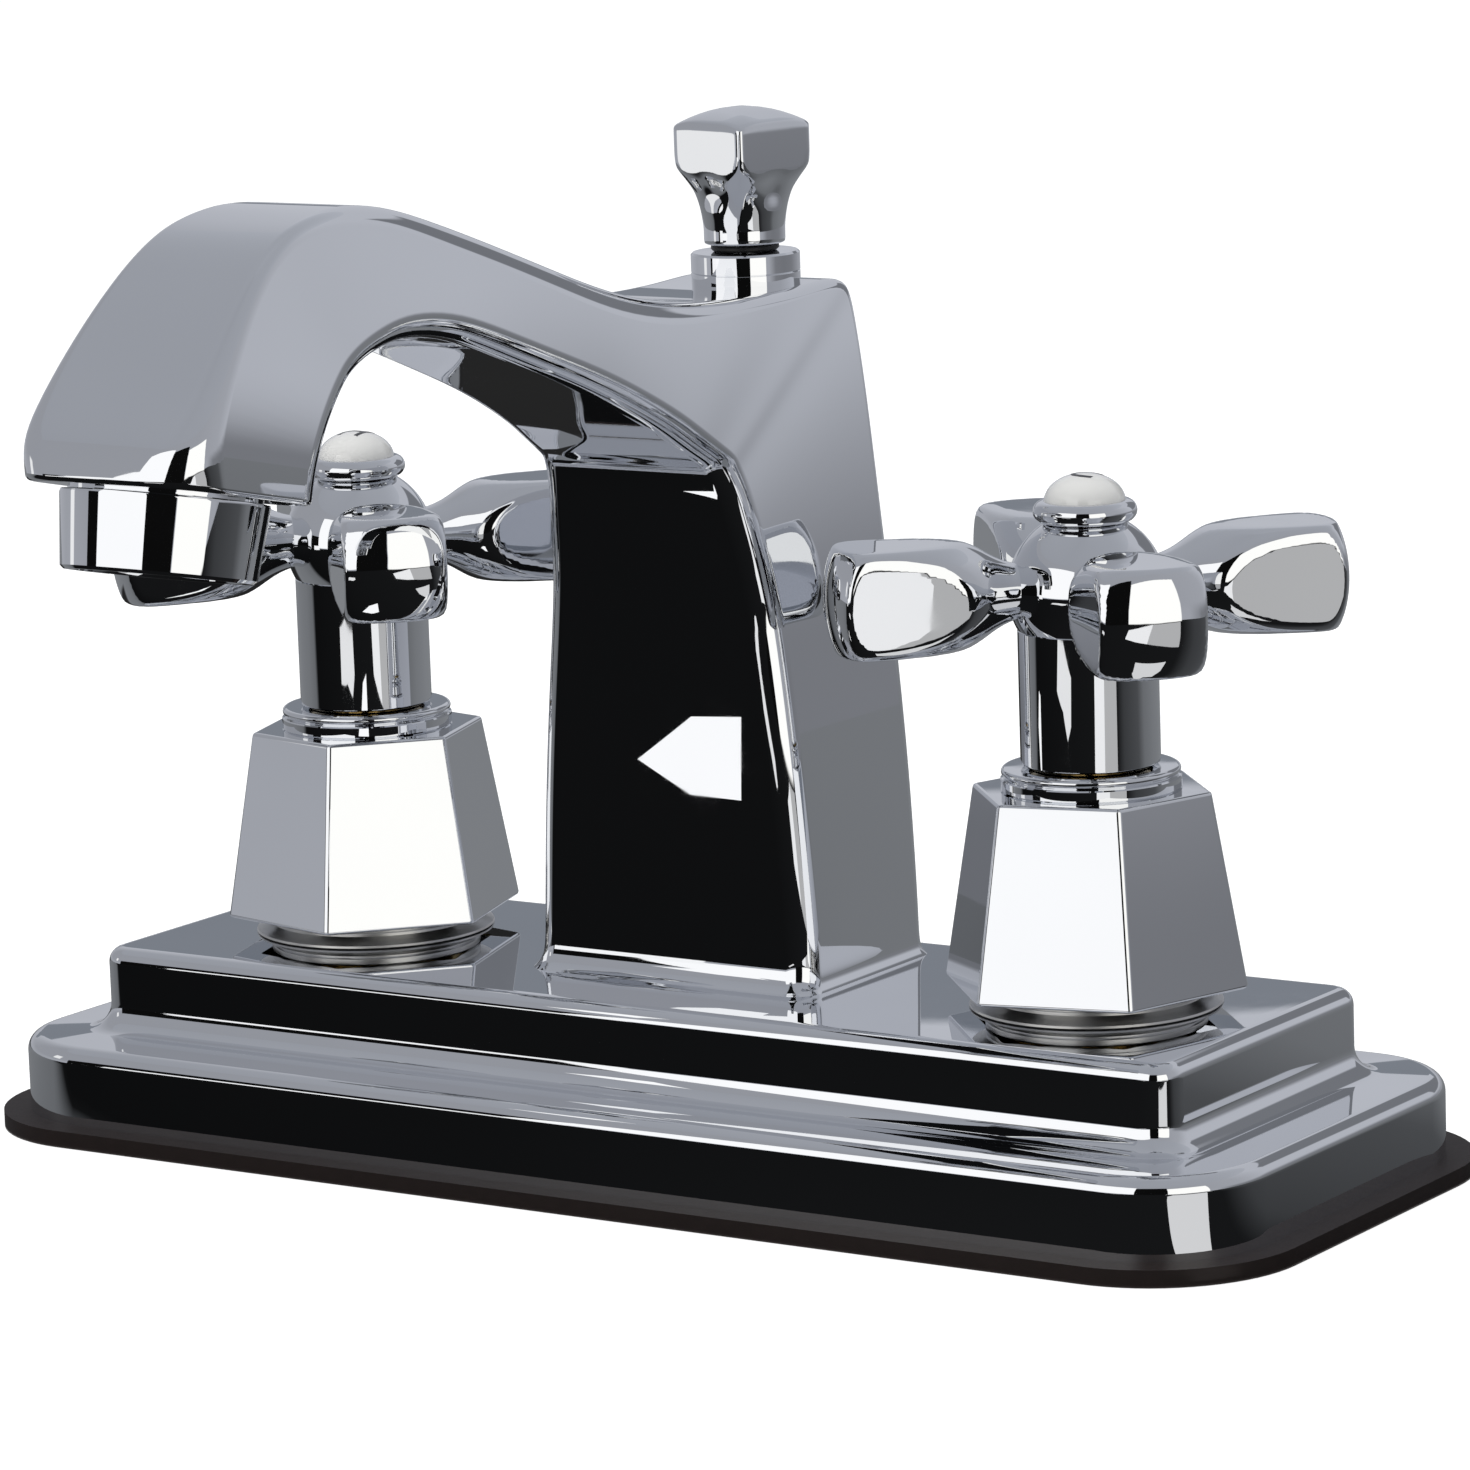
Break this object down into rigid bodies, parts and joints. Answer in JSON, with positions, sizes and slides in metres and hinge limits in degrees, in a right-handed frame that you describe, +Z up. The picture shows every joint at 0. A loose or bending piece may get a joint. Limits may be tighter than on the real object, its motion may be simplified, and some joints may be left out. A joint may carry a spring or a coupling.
{
  "type": "centerset bathroom faucet",
  "caption": "Deck-mounted bathroom faucet: arched spout with aerator, two cross handles on hexagonal bells and a pop-up lift rod, on a stepped base plate.",
  "frame": {"origin": "centre of the deck face (underside of the gasket), midway between the two valve axes", "axes": "+Z up out of the deck, -Y towards the user and along the spout, +X to the cold handle"},
  "size_m": [0.1756, 0.1476, 0.2014],
  "materials": {
    "gasket_rubber": "matte",
    "chrome": "polished",
    "nickel": "turned",
    "brass": "machined",
    "black_rubber": "moulded",
    "ceramic": "ground",
    "porcelain": "glazed",
    "steel": "machined",
    "white_plastic": "moulded"
  },
  "bodies": {
    "root": {"deck_gasket": "gasket_rubber", "base_plate": "chrome", "waterway_body": "brass", "outlet_nipple": "brass", "nipple_o_ring": "black_rubber", "hot_inlet_shank": "brass", "hot_clamp_ring": "nickel", "hot_bell": "chrome", "hot_collar": "chrome", "hot_cartridge": "brass", "hot_seat_seal": "black_rubber", "hot_fixed_disc": "ceramic", "cold_inlet_shank": "brass", "cold_clamp_ring": "nickel", "cold_bell": "chrome", "cold_collar": "chrome", "cold_cartridge": "brass", "cold_seat_seal": "black_rubber", "cold_fixed_disc": "ceramic", "spout": "chrome", "aerator_housing": "chrome", "aerator_insert": "white_plastic", "aerator_washer": "black_rubber", "guide_collar": "chrome"},
    "hot_handle": {"hot_turning_disc": "ceramic", "hot_stem": "brass", "hot_sleeve": "chrome", "hot_cross_handle": "chrome", "hot_handle_screw": "steel", "hot_bezel": "chrome", "hot_button": "porcelain"},
    "cold_handle": {"cold_turning_disc": "ceramic", "cold_stem": "brass", "cold_sleeve": "chrome", "cold_cross_handle": "chrome", "cold_handle_screw": "steel", "cold_bezel": "chrome", "cold_button": "porcelain"},
    "lift": {"lift_rod": "chrome", "knob_ring": "black_rubber", "lift_knob": "chrome"}
  },
  "joints": [
    {"name": "hot_turn", "type": "hinge", "parent": "root", "child": "hot_handle", "pos_m": [-0.0508, 0, 0.06], "axis": [0, 0, 1], "range_deg": [0, 90]},
    {"name": "cold_turn", "type": "hinge", "parent": "root", "child": "cold_handle", "pos_m": [0.0508, 0, 0.06], "axis": [0, 0, 1], "range_deg": [-90, 0]},
    {"name": "rod_lift", "type": "slide", "parent": "root", "child": "lift", "axis": [0, 0, 1], "range_m": [0, 0.025]}
  ]
}
